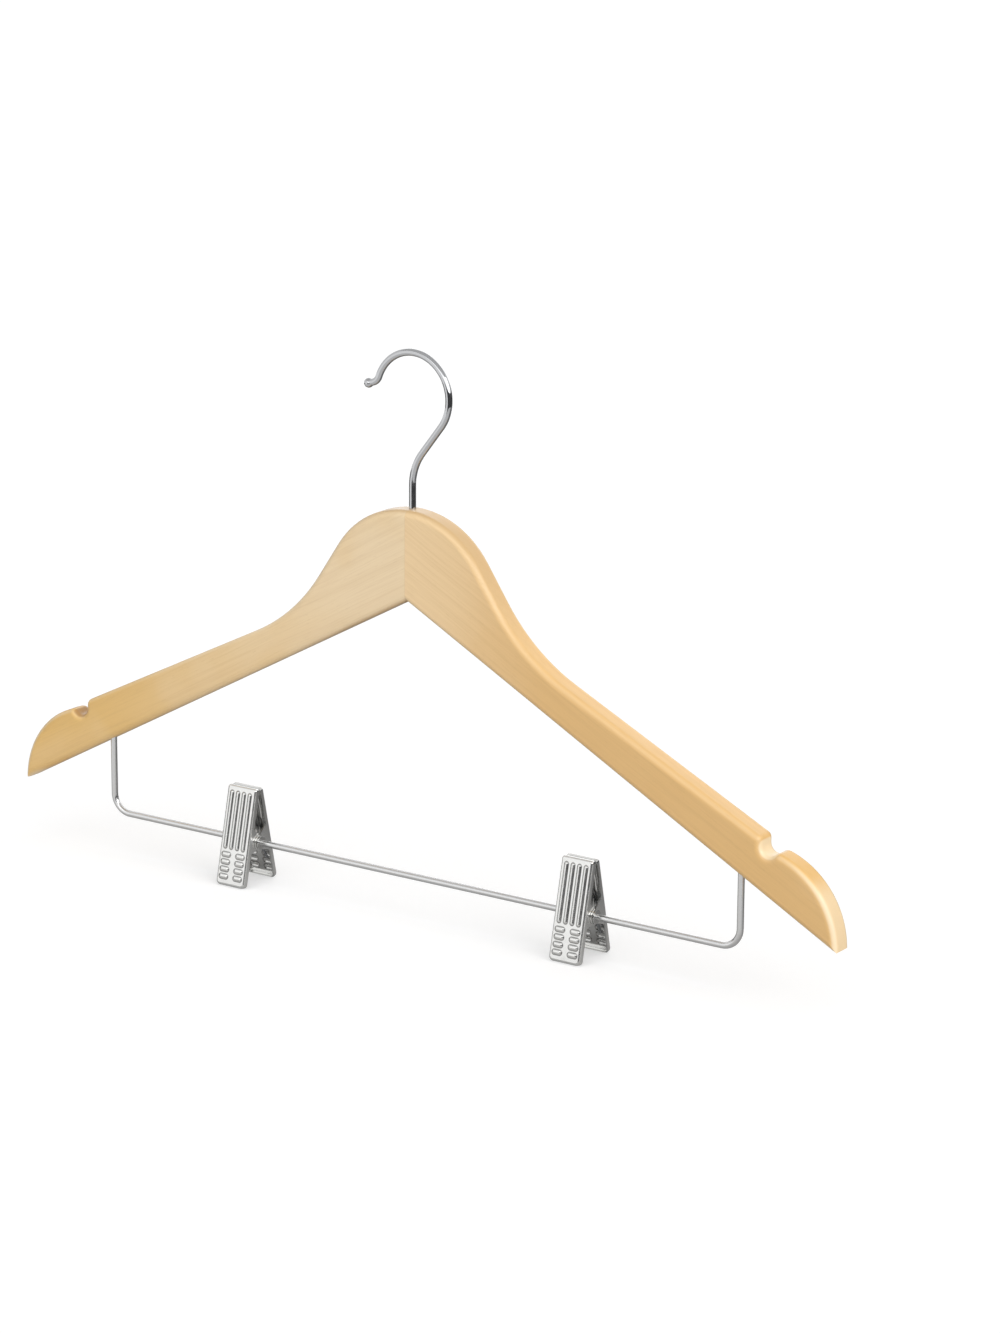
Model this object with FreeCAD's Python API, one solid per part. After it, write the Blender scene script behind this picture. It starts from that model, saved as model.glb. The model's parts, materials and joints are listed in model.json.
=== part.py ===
import FreeCAD, Part
import math
import os

# Wooden hanger with a swivel hook and two sliding spring clips on a wire bar. Millimetres.
# Origin: the highest point inside the hook, where it bears on a rod.
# +X along the arms, +Y to the back, +Z up.

V = FreeCAD.Vector
X_AXIS = V(1, 0, 0)
Y_AXIS = V(0, 1, 0)
Z_AXIS = V(0, 0, 1)
ORIGIN = V(0, 0, 0)
EPSILON = 1e-6              # lengths that count as none when edges are picked

# Wooden body, drawn on its front outline
HALF_WIDTH = 223.0
BODY_THICKNESS = 12.0
TIP_DROP = 120.0            # underside apex down to the corner of a tip
DOME_HEIGHT = 41.0          # underside apex up to the top of the dome
DOME_RADIUS = 45.5
FLANK_ANGLE = 56.0          # slope of the straight flank below the dome
NECK_RADIUS = 92.0          # hollow curve from the flank into the arm
NECK_SHARE = 0.95           # most of the flank that the hollow curve may take up
ARM_LINE_RISE = 15.1        # where the two arms' top lines would cross, above the apex
END_RADIUS = 40.4           # rounded end beyond the notch
NOTCH_INSET = 34.4          # notch centre in from the tip
NOTCH_LIFT = 0.616          # notch centre outside the rounded end's circle
NOTCH_RADIUS = 3.9
NOTCH_DROP = 2.0            # notch centre below the arm's top line
TIP_FLAT = 0.9              # flat that blunts the point of a tip
EDGE_RADIUS = 3.0           # rounding all round both faces
LIP_EXTRA = 0.1             # by which the two notch lips are rounder than those edges

# Tongue and groove on the centre line
TONGUE_LENGTH = 9.0
TONGUE_THICKNESS = 4.6

# Hook, bent in the plane of the body
HOOK_WIRE = 3.2
HOOK_RADIUS = 19.4          # centre line of the big bend
HOOK_LEAN = 38.0            # slanted run, from upright
SHANK_BEND_RADIUS = 24.0
SHANK_RISE = 10.6           # straight shank, from the dome up to its bend
MOUTH_ANGLE = 160.0         # where the big bend ends, from +X
TURNOUT_RADIUS = 4.6
TURNOUT_ANGLE = 55.0
TURNOUT_RUN = 2.4
BALL_DIAMETER = 4.4

# Hook's hidden fixing
SWIVEL_CLEARANCE = 0.06     # radial, shank in wood and washer
RECESS_DEPTH = 5.5          # above the underside apex
WASHER_CLEARANCE = 0.3      # radial, washer in its recess
WASHER_THICKNESS = 0.8
HEAD_DIAMETER = 6.0
HEAD_CLEARANCE = 1.0        # radial, head in the washer's recess
HEAD_THICKNESS = 1.6
HEAD_ROUNDING = 0.7
HEAD_PLAY = 0.1             # washer to head

# Clip bar
BAR_WIRE = 3.0
BAR_DROP = 128.5            # underside apex down to the bar's centre line
LEG_INSET = 50.4            # leg in from the tip
BAR_BEND_RADIUS = 9.0
LEG_SET = 14.0              # leg's length inside the wood
LEG_CLEARANCE = 0.02

# Clips
CLIP_PLACES = {"left": -94.4, "right": 90.7}
SHEET = 0.8
JAW_WIDTH = 16.4
JAW_LENGTH = 25.0           # pivot to jaw lip, along the plate
TAB_LENGTH = 21.8           # pivot to finger end, along the plate
TRAY_DEPTH = 2.67           # pressed rim, plate's outer face to the rim's edge
PLATE_LEAN = 12.8
LIP_GAP = 0.3               # between the closed lips
BEND_RADIUS = 1.2
JAW_CORNER = 1.5
TAB_CORNER = 2.2
EAR_RADIUS = 3.4
EAR_BASE = 15.0
EAR_CLEARANCE = 0.15        # between two nested ears
RIB_COUNT = 4
RIB_WIDTH = 2.1
RIB_HEIGHT = 0.55
RIB_SIDE_MARGIN = 3.1       # middle of the outer rib to the plate's side
RIB_LIP_MARGIN = 2.5        # rib's end to the jaw lip
RIB_BUMP_GAP = 1.4          # rib's foot to the first row of bumps
BUMP_ROWS = 4
BUMP_PITCH = 3.4
BUMP_END_MARGIN = 4.2       # middle of the last row to the tab's end
BUMP_SIDE_GAP = 0.4         # bump's end to the start of the plate's side bend
BUMP_MIDDLE_GAP = 2.8       # between the two bumps of a row
BUMP_WIDTH = 2.5
BUMP_HEIGHT = 0.5
BEAD_FOOT_RADIUS = 0.3      # hollow curve from the plate into a rib or bump

# Pivot tube and spring
TUBE_CLEARANCE = 0.06       # radial, tube on bar
TUBE_WALL = 0.5
PIVOT_CLEARANCE = 0.05      # radial, ears on tube
RIM_DIAMETER = 6.2
RIM_THICKNESS = 0.6
RIM_ROUNDING = 0.2
RIM_PLAY = 0.1              # ear to rim
SPRING_WIRE = 1.2
SPRING_TURNS = 4
SPRING_TURN_GAP = 0.55
SPRING_CLEARANCE = 0.3      # radial, coil round tube
SPRING_LEG = 13.9
LEG_TIP_GAP = 0.15          # leg's end to the tab

# Places and sizes that follow from those above
LEAN = math.radians(HOOK_LEAN)
HOOK_CENTRE_Z = HOOK_WIRE / 2 - HOOK_RADIUS
KNEE_Z = HOOK_CENTRE_Z - HOOK_RADIUS / math.sin(LEAN)
KNEE_REACH = SHANK_BEND_RADIUS * math.tan(LEAN / 2)
DOME_TOP = KNEE_Z - KNEE_REACH - SHANK_RISE
APEX = DOME_TOP - DOME_HEIGHT
BAR_Z = APEX - BAR_DROP
UNDERSIDE_SLOPE = TIP_DROP / HALF_WIDTH
NOTCH_X = HALF_WIDTH - NOTCH_INSET
LEG_X = HALF_WIDTH - LEG_INSET
LIP_RADIUS = EDGE_RADIUS + LIP_EXTRA
RECESS_DIAMETER = HEAD_DIAMETER + 2 * HEAD_CLEARANCE
WASHER_DIAMETER = RECESS_DIAMETER - 2 * WASHER_CLEARANCE
JAW_TILT = math.radians(PLATE_LEAN)
PLATE_DISTANCE = TRAY_DEPTH + (JAW_LENGTH * math.sin(JAW_TILT) + LIP_GAP / 2) / math.cos(JAW_TILT)
SPRING_PITCH = SPRING_WIRE + SPRING_TURN_GAP
TUBE_RADIUS = BAR_WIRE / 2 + TUBE_CLEARANCE + TUBE_WALL
COIL_RADIUS = TUBE_RADIUS + SPRING_CLEARANCE + SPRING_WIRE / 2


def point(x, z):
    """A point of the body's middle plane."""
    return V(x, 0, z)


def line(a, b):
    return Part.LineSegment(a, b).toShape()


def arc(a, middle, b):
    return Part.Arc(a, middle, b).toShape()


def on_circle(centre, radius, degrees):
    """Point of a circle in the XZ plane, the angle counted from +X towards +Z."""
    angle = math.radians(degrees)
    return centre + V(radius * math.cos(angle), 0, radius * math.sin(angle))


def rod(start, direction, length, diameter):
    return Part.makeCylinder(diameter / 2, length, start, direction)


def sweep(path, start, direction, diameter):
    """Round wire along a path of tangent edges."""
    section = Part.Wire(Part.makeCircle(diameter / 2, start, direction))
    return Part.Wire(path).makePipeShell([section], True, False)


def underside(x):
    return APEX - UNDERSIDE_SLOPE * abs(x)


def end_centre():
    return point(HALF_WIDTH - END_RADIUS, APEX - TIP_DROP)


def notch_centre():
    centre = end_centre()
    across = NOTCH_X - centre.x
    return centre + V(across, 0, math.sqrt((END_RADIUS + NOTCH_LIFT) ** 2 - across ** 2))


def arm_slope():
    """Fall of an arm's top line, which passes over the notch's centre at the notch's drop."""
    return (APEX + ARM_LINE_RISE - NOTCH_DROP - notch_centre().z) / NOTCH_X


def arm_line(x):
    return APEX + ARM_LINE_RISE - arm_slope() * x


def outer_lip():
    """Where the notch's circle leaves the rounded end, on the outer side."""
    a, b = notch_centre(), end_centre()
    gap = (b - a).Length
    along = (gap ** 2 + NOTCH_RADIUS ** 2 - END_RADIUS ** 2) / (2 * gap)
    across = math.sqrt(NOTCH_RADIUS ** 2 - along ** 2)
    way = (b - a).normalize()
    return a + way * along + V(-way.z, 0, way.x) * across


def neck_points():
    """Start, middle and end of the hollow curve between flank and arm."""
    flank, arm = math.radians(FLANK_ANGLE), math.atan(arm_slope())
    dome_end = flank_start()
    run = (dome_end.z - arm_line(dome_end.x)) / (math.tan(flank) - math.tan(arm))
    corner = dome_end + V(run, 0, -run * math.tan(flank))
    half_turn = (flank - arm) / 2
    reach = min(NECK_RADIUS * math.tan(half_turn), NECK_SHARE * (corner - dome_end).Length)
    start = corner + V(-math.cos(flank), 0, math.sin(flank)) * reach
    end = corner + V(math.cos(arm), 0, -math.sin(arm)) * reach
    bisector = (flank + arm) / 2
    depth = reach * math.tan(half_turn / 2)
    middle = corner + V(math.sin(bisector), 0, math.cos(bisector)) * depth
    return start, middle, end


def flank_start():
    return on_circle(point(0, DOME_TOP - DOME_RADIUS), DOME_RADIUS, 90 - FLANK_ANGLE)


def arm_outline():
    """Front outline of the right half, anticlockwise from the underside apex."""
    apex, top = point(0, APEX), point(0, DOME_TOP)
    tip = point(HALF_WIDTH, APEX - TIP_DROP)
    lip = outer_lip()
    centre = end_centre()
    lip_angle = math.degrees(math.atan2(lip.z - centre.z, lip.x - centre.x))
    notch = notch_centre()
    wall_foot = notch - V(NOTCH_RADIUS, 0, 0)
    wall_top = point(wall_foot.x, arm_line(wall_foot.x))
    neck_start, neck_middle, neck_end = neck_points()
    dome_centre = point(0, DOME_TOP - DOME_RADIUS)
    return Part.Wire([
        line(apex, tip),
        arc(tip, on_circle(centre, END_RADIUS, lip_angle / 2), lip),
        arc(lip, notch - V(0, 0, NOTCH_RADIUS), wall_foot),
        line(wall_foot, wall_top),
        line(wall_top, neck_end),
        arc(neck_end, neck_middle, neck_start),
        line(neck_start, flank_start()),
        arc(flank_start(), on_circle(dome_centre, DOME_RADIUS, 90 - FLANK_ANGLE / 2), top),
        line(top, apex),
    ])


def cross_edges(shape, places):
    """Edges that run through the thickness at the given outline points."""
    found = []
    for edge in shape.Edges:
        flat = V(edge.CenterOfMass.x, 0, edge.CenterOfMass.z)
        runs_through = abs(edge.CenterOfMass.y) < EPSILON
        if runs_through and any((flat - place).Length < EPSILON for place in places):
            found.append(edge)
    return found


def face_edges(shape):
    """Edges round the front and back faces, without those on the centre line."""
    half = BODY_THICKNESS / 2
    return [
        edge for edge in shape.Edges
        if abs(abs(edge.CenterOfMass.y) - half) < EPSILON and edge.BoundBox.XMax > EPSILON
    ]


def tip_waste():
    """What blunting takes off the point of a tip, square to the bisector of its corner."""
    tip = point(HALF_WIDTH, APEX - TIP_DROP)
    inward = (V(-1, 0, UNDERSIDE_SLOPE).normalize() + Z_AXIS).normalize()
    depth = TIP_FLAT / 2 / math.tan(math.acos(inward.z))
    return rod(tip + inward * depth, -inward, BODY_THICKNESS, 2 * BODY_THICKNESS)


def rounded_half():
    """Right half of the body with all its hand-softened edges, before any hole."""
    face = Part.Face(arm_outline())
    solid = face.extrude(Y_AXIS * BODY_THICKNESS)
    solid.translate(Y_AXIS * (-BODY_THICKNESS / 2))
    wall_x = NOTCH_X - NOTCH_RADIUS
    lips = [outer_lip(), point(wall_x, arm_line(wall_x))]
    solid = solid.makeFillet(LIP_RADIUS, cross_edges(solid, lips))
    return solid.makeFillet(EDGE_RADIUS, face_edges(solid)).cut(tip_waste())


def tongue_space():
    depth = DOME_HEIGHT + TIP_DROP
    corner = V(0, -TONGUE_THICKNESS / 2, DOME_TOP - depth)
    return Part.makeBox(TONGUE_LENGTH, TONGUE_THICKNESS, depth, corner)


def recess_ceiling():
    return APEX + RECESS_DEPTH


def body_holes():
    """Hook bore, washer recess and the two blind holes for the bar's legs."""
    bore = HOOK_WIRE + 2 * SWIVEL_CLEARANCE
    below = V(0, 0, BAR_Z)
    holes = [
        rod(below, Z_AXIS, -BAR_Z, bore),
        rod(below, Z_AXIS, recess_ceiling() - BAR_Z, RECESS_DIAMETER),
    ]
    for x in (-LEG_X, LEG_X):
        depth = underside(LEG_X) + LEG_SET - BAR_Z
        holes.append(rod(V(x, 0, BAR_Z), Z_AXIS, depth, BAR_WIRE + 2 * LEG_CLEARANCE))
    return holes


def arms():
    """Left arm with its tongue, right arm with its groove."""
    right_half = rounded_half()
    left_half = right_half.mirror(ORIGIN, X_AXIS)
    space = tongue_space()
    tongue = right_half.common(space)
    left = left_half.fuse(tongue).removeSplitter()
    right = right_half.cut(space)
    return left.cut(body_holes()), right.cut(body_holes())


def hook():
    """Bent wire from the headed tail to the ball at the mouth."""
    centre = point(0, HOOK_CENTRE_Z)
    slant_end = on_circle(centre, HOOK_RADIUS, -HOOK_LEAN)
    bend_start = point(0, KNEE_Z - KNEE_REACH)
    bend_centre = bend_start + X_AXIS * SHANK_BEND_RADIUS
    bend_middle = on_circle(bend_centre, SHANK_BEND_RADIUS, 180 - HOOK_LEAN / 2)
    slant_start = point(0, KNEE_Z) + V(math.sin(LEAN), 0, math.cos(LEAN)) * KNEE_REACH

    mouth = on_circle(centre, HOOK_RADIUS, MOUTH_ANGLE)
    turn_centre = on_circle(centre, HOOK_RADIUS + TURNOUT_RADIUS, MOUTH_ANGLE)
    back = MOUTH_ANGLE - 180
    turn_middle = on_circle(turn_centre, TURNOUT_RADIUS, back - TURNOUT_ANGLE / 2)
    turn_end = on_circle(turn_centre, TURNOUT_RADIUS, back - TURNOUT_ANGLE)
    heading = on_circle(ORIGIN, 1, back - TURNOUT_ANGLE - 90)
    ball_centre = turn_end + heading * TURNOUT_RUN

    head_top = recess_ceiling() - WASHER_THICKNESS - HEAD_PLAY
    tail = point(0, head_top - HEAD_THICKNESS / 2)
    path = [
        line(tail, bend_start),
        arc(bend_start, bend_middle, slant_start),
        line(slant_start, slant_end),
        arc(slant_end, on_circle(centre, HOOK_RADIUS, (MOUTH_ANGLE - HOOK_LEAN) / 2), mouth),
        arc(mouth, turn_middle, turn_end),
        line(turn_end, ball_centre),
    ]
    wire = sweep(path, tail, Z_AXIS, HOOK_WIRE)
    ball = Part.makeSphere(BALL_DIAMETER / 2, ball_centre)
    head = rod(point(0, head_top), -Z_AXIS, HEAD_THICKNESS, HEAD_DIAMETER)
    rim = [edge for edge in head.Edges if edge.BoundBox.ZMax < head_top - HEAD_THICKNESS / 2]
    head = head.makeFillet(HEAD_ROUNDING, rim)
    return wire.fuse([ball, head])


def hook_washer():
    seat = point(0, recess_ceiling())
    disc = rod(seat, -Z_AXIS, WASHER_THICKNESS, WASHER_DIAMETER)
    return disc.cut(rod(seat, -Z_AXIS, WASHER_THICKNESS, HOOK_WIRE + 2 * SWIVEL_CLEARANCE))


def clip_bar():
    """One wire: leg, bend, long run, bend, leg."""
    top = underside(LEG_X) + LEG_SET
    low = BAR_Z + BAR_BEND_RADIUS
    run = LEG_X - BAR_BEND_RADIUS
    left_bend, right_bend = point(-run, low), point(run, low)
    start = point(-LEG_X, top)
    path = [
        line(start, point(-LEG_X, low)),
        arc(point(-LEG_X, low), on_circle(left_bend, BAR_BEND_RADIUS, 225), point(-run, BAR_Z)),
        line(point(-run, BAR_Z), point(run, BAR_Z)),
        arc(point(run, BAR_Z), on_circle(right_bend, BAR_BEND_RADIUS, 315), point(LEG_X, low)),
        line(point(LEG_X, low), point(LEG_X, top)),
    ]
    return sweep(path, start, -Z_AXIS, BAR_WIRE)


def pan(inset, depth):
    """Block with rounded corners, standing on the plate; inset moves its outer walls inwards."""
    width = JAW_WIDTH - 2 * inset
    corner = V(-width / 2, -PLATE_DISTANCE + inset, -TAB_LENGTH + inset)
    block = Part.makeBox(width, depth - inset, JAW_LENGTH + TAB_LENGTH - 2 * inset, corner)
    for radius, sign in ((TAB_CORNER, -1), (JAW_CORNER, 1)):
        upright = [
            edge for edge in block.Edges
            if edge.BoundBox.YLength > 0.5 * depth and edge.CenterOfMass.z * sign > 0.5 * JAW_LENGTH
        ]
        block = block.makeFillet(radius - inset, upright)
    outer = [edge for edge in block.Edges if edge.BoundBox.YMax < -PLATE_DISTANCE + inset + EPSILON]
    return block.makeFillet(BEND_RADIUS - inset, outer)


def bead(start, end, width, height):
    """Round-ended raised bead on the plate's outer face, between two axis points (x, z)."""
    radius = (width ** 2 / 4 + height ** 2) / (2 * height)
    depth = radius - height - PLATE_DISTANCE
    a, b = V(start[0], depth, start[1]), V(end[0], depth, end[1])
    core = rod(a, b - a, (b - a).Length, 2 * radius)
    return core.fuse([Part.makeSphere(radius, a), Part.makeSphere(radius, b)])


def beads():
    """Long ribs over the jaw and rows of finger bumps over the tab."""
    rows = [BUMP_END_MARGIN - TAB_LENGTH + row * BUMP_PITCH for row in range(BUMP_ROWS)]
    inner_end = BUMP_MIDDLE_GAP / 2
    outer_end = JAW_WIDTH / 2 - BEND_RADIUS - BUMP_SIDE_GAP
    half_run = (outer_end - inner_end - BUMP_WIDTH) / 2
    bump_x = (inner_end + outer_end) / 2
    found = []
    for z in rows:
        for x in (-bump_x, bump_x):
            found.append(bead((x - half_run, z), (x + half_run, z), BUMP_WIDTH, BUMP_HEIGHT))
    rib_foot = rows[-1] + BUMP_WIDTH / 2 + RIB_BUMP_GAP + RIB_WIDTH / 2
    rib_top = JAW_LENGTH - RIB_LIP_MARGIN - RIB_WIDTH / 2
    outer_rib = JAW_WIDTH / 2 - RIB_SIDE_MARGIN
    for index in range(RIB_COUNT):
        x = outer_rib * (2 * index / (RIB_COUNT - 1) - 1)
        found.append(bead((x, rib_foot), (x, rib_top), RIB_WIDTH, RIB_HEIGHT))
    return found


def bead_feet(plain, embossed):
    """Edges round the feet of the beads: those in the plate's outer face that the plain tray lacks."""
    known = [edge.CenterOfMass for edge in plain.Edges]
    return [
        edge for edge in embossed.Edges
        if abs(edge.BoundBox.YMin + PLATE_DISTANCE) < EPSILON
        and abs(edge.BoundBox.YMax + PLATE_DISTANCE) < EPSILON
        and all((edge.CenterOfMass - place).Length > EPSILON for place in known)
    ]


def embossed_tray():
    """Pressed tray with its ribs and bumps, which are hollow behind."""
    plain = pan(0, TRAY_DEPTH)
    slab_top = max(RIB_HEIGHT, BUMP_HEIGHT)
    slab = Part.makeBox(
        JAW_WIDTH, SHEET + slab_top, JAW_LENGTH + TAB_LENGTH,
        V(-JAW_WIDTH / 2, -PLATE_DISTANCE - slab_top, -TAB_LENGTH),
    )
    block = plain.fuse([slab.common(shape) for shape in beads()]).removeSplitter()
    block = block.makeFillet(BEAD_FOOT_RADIUS, bead_feet(plain, block))
    hollow = [pan(SHEET, 2 * TRAY_DEPTH)]
    for shape in beads():
        shape.translate(Y_AXIS * SHEET)
        hollow.append(slab.common(shape))
    return block.cut(hollow)


def ear(x, sunk):
    """Pivot ear, a plate across X from its depth in the tray to past the pivot."""
    floor = -PLATE_DISTANCE + sunk
    low, high = V(x, floor, -EAR_BASE / 2), V(x, floor, EAR_BASE / 2)
    top, front, foot = V(x, 0, EAR_RADIUS), V(x, EAR_RADIUS, 0), V(x, 0, -EAR_RADIUS)
    outline = Part.Wire([line(low, high), line(high, top), arc(top, front, foot), line(foot, low)])
    return Part.Face(outline).extrude(X_AXIS * SHEET)


def jaw():
    """Front jaw about its pivot: embossed tray with one outer and one nested ear, leaning shut."""
    inner_x = JAW_WIDTH / 2 - 2 * SHEET - EAR_CLEARANCE
    fold = Part.makeBox(
        SHEET + EAR_CLEARANCE, TRAY_DEPTH - SHEET / 2, EAR_BASE / 2,
        V(inner_x, -PLATE_DISTANCE + SHEET / 2, -EAR_BASE / 4),
    )
    outer_ear, nested_ear = ear(-JAW_WIDTH / 2, BEND_RADIUS), ear(inner_x, SHEET / 2)
    solid = embossed_tray().fuse([outer_ear, nested_ear, fold])
    pivot_hole = 2 * (TUBE_RADIUS + PIVOT_CLEARANCE)
    solid = solid.cut(rod(V(-JAW_WIDTH, 0, 0), X_AXIS, 2 * JAW_WIDTH, pivot_hole)).removeSplitter()
    solid.rotate(ORIGIN, X_AXIS, -PLATE_LEAN)
    return solid


def pivot_tube():
    """Hollow rivet with a rolled rim at each end."""
    reach = JAW_WIDTH / 2 + RIM_PLAY
    tube = rod(V(-reach, 0, 0), X_AXIS, 2 * reach, 2 * TUBE_RADIUS)
    for start, way in ((V(-reach, 0, 0), -X_AXIS), (V(reach, 0, 0), X_AXIS)):
        rim = rod(start, way, RIM_THICKNESS, RIM_DIAMETER)
        tube = tube.fuse(rim.makeFillet(RIM_ROUNDING, rim.Edges))
    bore = BAR_WIRE + 2 * TUBE_CLEARANCE
    return tube.cut(rod(V(-2 * reach, 0, 0), X_AXIS, 4 * reach, bore))


def coil_state(turn, axial_start):
    """Point and unit tangent of the coil; turn in radians, falling from the front leg's side."""
    y, z = COIL_RADIUS * math.cos(turn), COIL_RADIUS * math.sin(turn)
    place = V(axial_start[0] + (axial_start[1] - turn) * SPRING_PITCH / (2 * math.pi), y, z)
    tangent = V(SPRING_PITCH / (2 * math.pi), COIL_RADIUS * math.sin(turn), -COIL_RADIUS * math.cos(turn))
    return place, tangent.normalize()


def tangent_arc(start, heading, end):
    """Arc that leaves start along heading and ends at end, with its middle point."""
    chord = end - start
    way = V(chord).normalize()
    side = heading - way * heading.dot(way)
    half_angle = math.atan2(side.Length, heading.dot(way))
    middle = start + chord * 0.5 + side.normalize() * (chord.Length / 2 * math.tan(half_angle / 2))
    return arc(start, middle, end)


def biarc(start, leaving, end, arriving):
    """Two tangent arcs joining two points with given headings."""
    chord, both = end - start, leaving + arriving
    spread = 2 * (1 - leaving.dot(arriving))
    reach = (math.sqrt(chord.dot(both) ** 2 + spread * chord.dot(chord)) - chord.dot(both)) / spread
    joint = (start + end + (leaving - arriving) * reach) * 0.5
    second = tangent_arc(end, -arriving, joint)
    return [tangent_arc(start, leaving, joint), second]


def spring_path():
    """Centre line: front leg, coil round the tube, rear leg. Legs press the two tabs apart."""
    leg_distance = PLATE_DISTANCE - SHEET - SPRING_WIRE / 2 - LEG_TIP_GAP
    tip_reach = math.hypot(COIL_RADIUS, SPRING_LEG)
    slant = JAW_TILT + math.asin(leg_distance / tip_reach) - math.atan2(COIL_RADIUS, SPRING_LEG)
    first, last = math.pi - slant, slant - 2 * math.pi * SPRING_TURNS
    axial_start = (-(first - last) * SPRING_PITCH / (4 * math.pi), first)
    steps = 4 * (SPRING_TURNS + 1)
    states = [
        coil_state(first + (last - first) * step / steps, axial_start)
        for step in range(steps + 1)
    ]
    start, leaving = states[0]
    end, arriving = states[-1]
    path = [line(start - leaving * SPRING_LEG, start)]
    for (a, a_way), (b, b_way) in zip(states, states[1:]):
        path += biarc(a, a_way, b, b_way)
    path.append(line(end, end + arriving * SPRING_LEG))
    return path, start - leaving * SPRING_LEG, leaving


def least_gap(path):
    """Smallest clear gap between two stretches of the coil, measured on points of its centre line."""
    points = [p for edge in path for p in edge.discretize(Distance=SPRING_WIRE / 3)]
    apart = int(math.pi * COIL_RADIUS / (SPRING_WIRE / 3))
    gaps = [
        (a - b).Length
        for index, a in enumerate(points)
        for b in points[index + apart:]
    ]
    return min(gaps) - SPRING_WIRE


def spring():
    path, start, heading = spring_path()
    print("spring: least gap between turns %.2f mm" % least_gap(path))
    return sweep(path, start, heading, SPRING_WIRE)


def clip():
    """The four pieces of a clip about its pivot."""
    front = jaw()
    rear = front.copy()
    rear.rotate(ORIGIN, Z_AXIS, 180)
    return {"front_jaw": front, "rear_jaw": rear, "pivot_tube": pivot_tube(), "spring": spring()}


def hanger():
    left_arm, right_arm = arms()
    pieces = {
        "left_arm": left_arm,
        "right_arm": right_arm,
        "hook": hook(),
        "hook_washer": hook_washer(),
        "clip_bar": clip_bar(),
    }
    clip_pieces = clip()
    for side, x in CLIP_PLACES.items():
        for name, shape in clip_pieces.items():
            pieces[side + "_" + name] = shape.translated(V(x, 0, BAR_Z))
    return pieces


os.makedirs("parts", exist_ok=True)
for name, shape in hanger().items():
    print("%-18s solids %d valid %s volume %.2f" % (name, len(shape.Solids), shape.isValid(), shape.Volume))
    shape.exportStep("parts/%s.step" % name)
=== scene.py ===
"""Wooden skirt hanger with a swivel hook and two sliding spring clips: its finishes and studio."""

import json
import logging
import math
from dataclasses import dataclass, replace
from enum import Enum
from typing import Any

import bmesh
import bpy
from mathutils import Matrix, Vector

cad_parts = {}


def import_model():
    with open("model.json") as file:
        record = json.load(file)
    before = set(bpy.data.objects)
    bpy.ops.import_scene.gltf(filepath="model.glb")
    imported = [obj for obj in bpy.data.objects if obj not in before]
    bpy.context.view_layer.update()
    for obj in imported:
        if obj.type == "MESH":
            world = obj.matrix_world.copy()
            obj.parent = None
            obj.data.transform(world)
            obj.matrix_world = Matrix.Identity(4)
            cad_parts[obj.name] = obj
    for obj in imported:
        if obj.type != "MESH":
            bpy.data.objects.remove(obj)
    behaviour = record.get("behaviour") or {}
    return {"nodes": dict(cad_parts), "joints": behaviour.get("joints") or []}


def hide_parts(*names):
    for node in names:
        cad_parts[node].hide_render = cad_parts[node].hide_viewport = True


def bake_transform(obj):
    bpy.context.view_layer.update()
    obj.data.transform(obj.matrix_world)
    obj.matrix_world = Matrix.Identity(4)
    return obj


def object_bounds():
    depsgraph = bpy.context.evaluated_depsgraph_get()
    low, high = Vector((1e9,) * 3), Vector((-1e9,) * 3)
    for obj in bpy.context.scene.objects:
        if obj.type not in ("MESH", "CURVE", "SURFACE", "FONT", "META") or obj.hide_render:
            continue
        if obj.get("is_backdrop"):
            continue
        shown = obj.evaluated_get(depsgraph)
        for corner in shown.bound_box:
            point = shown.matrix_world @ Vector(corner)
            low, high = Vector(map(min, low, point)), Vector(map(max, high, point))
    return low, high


LOG = logging.getLogger("skirt_hanger")
MM = 0.001
WHITE = (1.0, 1.0, 1.0, 1.0)
WHOLE = (0.0, 1.0)
NOISE_SPAN = (0.3, 0.7)             # most values of a noise texture lie between these
WAVE_PERIOD = 2 * math.pi / 20      # distance between two rings of a wave texture of scale 1
MIX_UNDER, MIX_OVER = 6, 7          # colour inputs of a mix node
MIX_RESULT = 2                      # its colour output

Span = tuple[float, float]
Socket = bpy.types.NodeSocket
Colour = Socket | tuple[float, float, float, float]


class Side(Enum):
    """The two sides of the hanger, seen from the front."""

    LEFT = "left"
    RIGHT = "right"

    @property
    def sign(self) -> int:
        """-1 on the left, 1 on the right, as X counts."""
        return -1 if self is Side.LEFT else 1


def linear(code: str) -> tuple[float, float, float, float]:
    """Turn an sRGB hex colour into linear values.

    Args:
        code: Six hex digits with a leading hash.

    Returns:
        Red, green, blue and an alpha of 1.
    """
    # the two parts of the sRGB curve
    shares = [int(code[start:start + 2], 16) / 255 for start in (1, 3, 5)]
    channels = [s / 12.92 if s <= 0.04045 else ((s + 0.055) / 1.055) ** 2.4 for s in shares]
    return channels[0], channels[1], channels[2], 1.0


def add_node(
    tree: bpy.types.NodeTree, kind: str, inputs: dict[str | int, Any], **settings: Any,
) -> bpy.types.Node:
    """Add a shader node, set its options and fill its sockets.

    Args:
        tree: Node tree that gets the node.
        kind: Blender's name of the node type.
        inputs: Socket name or number to a value, or to an output socket to link from.
        **settings: Attributes of the node itself.

    Returns:
        The new node.
    """
    made = tree.nodes.new(kind)
    for name, value in settings.items():
        setattr(made, name, value)
    for name, value in inputs.items():
        if isinstance(value, Socket):
            tree.links.new(value, made.inputs[name])
        else:
            made.inputs[name].default_value = value
    return made


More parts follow.
